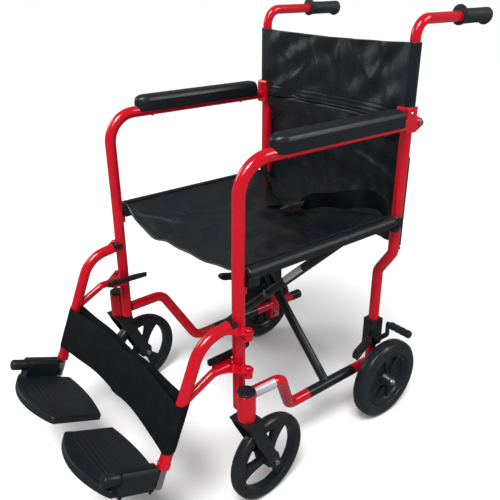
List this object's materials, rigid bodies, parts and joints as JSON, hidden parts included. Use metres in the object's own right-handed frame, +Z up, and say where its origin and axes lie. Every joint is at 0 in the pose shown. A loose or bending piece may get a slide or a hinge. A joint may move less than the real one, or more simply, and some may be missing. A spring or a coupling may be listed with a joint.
{
  "type": "manual wheelchair",
  "caption": "Folding attendant-propelled wheelchair with cross-brace, sling seat and back, swing-away footrests, front casters and small rear wheels.",
  "frame": {"origin": "on the floor under the middle of the chair's overall width and length", "axes": "+X towards the sitter's left, +Y towards the rear (the attendant), +Z up; the chair faces -Y"},
  "size_m": [0.6012, 1.0394, 0.9856],
  "materials": {
    "blackmetal": "gloss powder coat",
    "blackplastic": "moulded, satin",
    "chrome": "polished",
    "grip": "moulded grip",
    "nylon": "coated nylon, low sheen",
    "red": "gloss enamel",
    "tyre": "solid, smooth tread",
    "webbing": "woven webbing",
    "zinc": "zinc plated"
  },
  "bodies": {
    "left_frame": {"side_tube_left": "red", "lower_rail_left": "red", "rear_post_left": "red", "hinge_casting_left": "red", "caster_housing_left": "red", "housing_cap_left": "blackplastic", "seat_cradle_left": "blackplastic", "arm_pad_left": "blackplastic", "rear_axle_left": "zinc", "brake_bracket_left": "blackmetal", "lap_belt_left": "webbing", "back_lower": "nylon"},
    "leg_a": {"cross_leg_a": "blackmetal", "centre_bolt": "zinc"},
    "leg_b": {"cross_leg_b": "blackmetal"},
    "right_frame": {"side_tube_right": "red", "lower_rail_right": "red", "rear_post_right": "red", "hinge_casting_right": "red", "caster_housing_right": "red", "housing_cap_right": "blackplastic", "seat_cradle_right": "blackplastic", "arm_pad_right": "blackplastic", "rear_axle_right": "zinc", "brake_bracket_right": "blackmetal", "lap_belt_right": "webbing"},
    "seat_sling": {"seat": "nylon"},
    "caster_left": {"caster_fork_left": "blackmetal", "caster_axle_left": "zinc"},
    "caster_wheel_left": {"caster_wheel_left": "tyre"},
    "rear_wheel_left": {"rear_wheel_left": "blackplastic", "rear_tyre_left": "tyre"},
    "brake_handle_left": {"brake_handle_left": "blackmetal"},
    "brake_shoe_left": {"brake_shoe_left": "blackplastic"},
    "hanger_left": {"hanger_left": "red", "hanger_bumper_left": "blackplastic", "calf_strap_left": "webbing"},
    "release_lever_left": {"release_lever_left": "blackplastic"},
    "footrest_left": {"footrest_stem_left": "chrome"},
    "footplate_left": {"footplate_left": "blackplastic"},
    "back_left": {"cane_left": "red", "grip_left": "grip", "back_upper": "nylon"},
    "back_lever_left": {"back_lever_left": "zinc"},
    "caster_right": {"caster_fork_right": "blackmetal", "caster_axle_right": "zinc"},
    "caster_wheel_right": {"caster_wheel_right": "tyre"},
    "rear_wheel_right": {"rear_wheel_right": "blackplastic", "rear_tyre_right": "tyre"},
    "brake_handle_right": {"brake_handle_right": "blackmetal"},
    "brake_shoe_right": {"brake_shoe_right": "blackplastic"},
    "hanger_right": {"hanger_right": "red", "hanger_bumper_right": "blackplastic", "calf_strap_right": "webbing"},
    "release_lever_right": {"release_lever_right": "blackplastic"},
    "footrest_right": {"footrest_stem_right": "chrome"},
    "footplate_right": {"footplate_right": "blackplastic"},
    "back_right": {"cane_right": "red", "grip_right": "grip"},
    "back_lever_right": {"back_lever_right": "zinc"}
  },
  "joints": [
    {"name": "fold_left", "type": "hinge", "parent": "left_frame", "child": "leg_a", "pos_m": [0.19567, 0.12324, 0.131], "axis": [0, 1, 0], "range_deg": [0, 27], "deforming": ["seat", "back_upper", "back_lower", "calf_strap_left", "calf_strap_right", "lap_belt_left", "lap_belt_right"]},
    {"name": "fold_center", "type": "hinge", "parent": "leg_a", "child": "leg_b", "pos_m": [0.00467, 0.09774, 0.31171], "axis": [0, 1, 0], "range_deg": [-54, 0]},
    {"name": "fold_right", "type": "hinge", "parent": "leg_b", "child": "right_frame", "pos_m": [-0.18633, 0.12324, 0.131], "axis": [0, 1, 0], "range_deg": [0, 27]},
    {"name": "seat_level", "type": "hinge", "parent": "leg_a", "child": "seat_sling", "pos_m": [-0.23133, 0.03574, 0.535], "axis": [0, 1, 0], "range_deg": [-27, 0]},
    {"name": "caster_swivel_left", "type": "hinge", "parent": "left_frame", "child": "caster_left", "pos_m": [0.27167, -0.20126, 0.235], "axis": [0, 0, 1], "continuous": true},
    {"name": "caster_spin_left", "type": "hinge", "parent": "caster_left", "child": "caster_wheel_left", "pos_m": [0.26635, -0.14049, 0.1], "axis": [0.9962, 0.0872, 0], "continuous": true},
    {"name": "rear_spin_left", "type": "hinge", "parent": "left_frame", "child": "rear_wheel_left", "pos_m": [0.24767, 0.26874, 0.105], "axis": [1, 0, 0], "continuous": true},
    {"name": "brake_handle_pivot_left", "type": "hinge", "parent": "left_frame", "child": "brake_handle_left", "pos_m": [0.21567, 0.23974, 0.2285], "axis": [1, 0, 0], "range_deg": [0, 32]},
    {"name": "brake_shoe_pivot_left", "type": "hinge", "parent": "left_frame", "child": "brake_shoe_left", "pos_m": [0.22267, 0.25274, 0.214], "axis": [1, 0, 0], "range_deg": [-32, 0]},
    {"name": "hanger_swing_left", "type": "hinge", "parent": "left_frame", "child": "hanger_left", "pos_m": [0.27167, -0.19626, 0.347], "axis": [0, 0, 1], "range_deg": [0, 90]},
    {"name": "release_lever_pivot_left", "type": "hinge", "parent": "hanger_left", "child": "release_lever_left", "pos_m": [0.21517, -0.23026, 0.347], "axis": [0, 0, 1], "range_deg": [0, 12], "stiffness_Nm_per_rad": 0.15},
    {"name": "footrest_slide_left", "type": "slide", "parent": "hanger_left", "child": "footrest_left", "axis": [0, -0.3746, -0.9272], "range_m": [0, 0.09]},
    {"name": "footplate_flip_left", "type": "hinge", "parent": "footrest_left", "child": "footplate_left", "pos_m": [0.23267, -0.38238, 0.1768], "axis": [0, 0.9272, -0.3746], "range_deg": [0, 90]},
    {"name": "back_fold_left", "type": "hinge", "parent": "left_frame", "child": "back_left", "pos_m": [0.23467, 0.29224, 0.7555], "axis": [-1, 0, 0], "range_deg": [0, 115]},
    {"name": "back_lever_pivot_left", "type": "hinge", "parent": "left_frame", "child": "back_lever_left", "pos_m": [0.23467, 0.29224, 0.7555], "axis": [-1, 0, 0], "range_deg": [0, 30], "stiffness_Nm_per_rad": 0.15},
    {"name": "caster_swivel_right", "type": "hinge", "parent": "right_frame", "child": "caster_right", "pos_m": [-0.26233, -0.20126, 0.235], "axis": [0, 0, 1], "continuous": true},
    {"name": "caster_spin_right", "type": "hinge", "parent": "caster_right", "child": "caster_wheel_right", "pos_m": [-0.26765, -0.14049, 0.1], "axis": [0.9962, 0.0872, 0], "continuous": true},
    {"name": "rear_spin_right", "type": "hinge", "parent": "right_frame", "child": "rear_wheel_right", "pos_m": [-0.23833, 0.26874, 0.105], "axis": [1, 0, 0], "continuous": true},
    {"name": "brake_handle_pivot_right", "type": "hinge", "parent": "right_frame", "child": "brake_handle_right", "pos_m": [-0.20633, 0.23974, 0.2285], "axis": [1, 0, 0], "range_deg": [0, 32]},
    {"name": "brake_shoe_pivot_right", "type": "hinge", "parent": "right_frame", "child": "brake_shoe_right", "pos_m": [-0.21333, 0.25274, 0.214], "axis": [1, 0, 0], "range_deg": [-32, 0]},
    {"name": "hanger_swing_right", "type": "hinge", "parent": "right_frame", "child": "hanger_right", "pos_m": [-0.26233, -0.19626, 0.347], "axis": [0, 0, -1], "range_deg": [0, 90]},
    {"name": "release_lever_pivot_right", "type": "hinge", "parent": "hanger_right", "child": "release_lever_right", "pos_m": [-0.20583, -0.23026, 0.347], "axis": [0, 0, -1], "range_deg": [0, 12], "stiffness_Nm_per_rad": 0.15},
    {"name": "footrest_slide_right", "type": "slide", "parent": "hanger_right", "child": "footrest_right", "axis": [0, -0.3746, -0.9272], "range_m": [0, 0.09]},
    {"name": "footplate_flip_right", "type": "hinge", "parent": "footrest_right", "child": "footplate_right", "pos_m": [-0.22333, -0.38238, 0.1768], "axis": [0, -0.9272, 0.3746], "range_deg": [0, 90]},
    {"name": "back_fold_right", "type": "hinge", "parent": "right_frame", "child": "back_right", "pos_m": [-0.22533, 0.29224, 0.7555], "axis": [-1, 0, 0], "range_deg": [0, 115]},
    {"name": "back_lever_pivot_right", "type": "hinge", "parent": "right_frame", "child": "back_lever_right", "pos_m": [-0.22533, 0.29224, 0.7555], "axis": [-1, 0, 0], "range_deg": [0, 30], "stiffness_Nm_per_rad": 0.15}
  ],
  "couplings": [
    {"joint": "fold_center", "follows": "fold_left", "ratio": -2},
    {"joint": "fold_right", "follows": "fold_left", "ratio": 1},
    {"joint": "seat_level", "follows": "fold_left", "ratio": -1},
    {"joint": "brake_shoe_pivot_left", "follows": "brake_handle_pivot_left", "ratio": -1},
    {"joint": "footplate_flip_left", "follows": "fold_left", "ratio": 3.3333},
    {"joint": "brake_shoe_pivot_right", "follows": "brake_handle_pivot_right", "ratio": -1},
    {"joint": "footplate_flip_right", "follows": "fold_left", "ratio": 3.3333},
    {"joint": "back_fold_right", "follows": "back_fold_left", "ratio": 1}
  ]
}
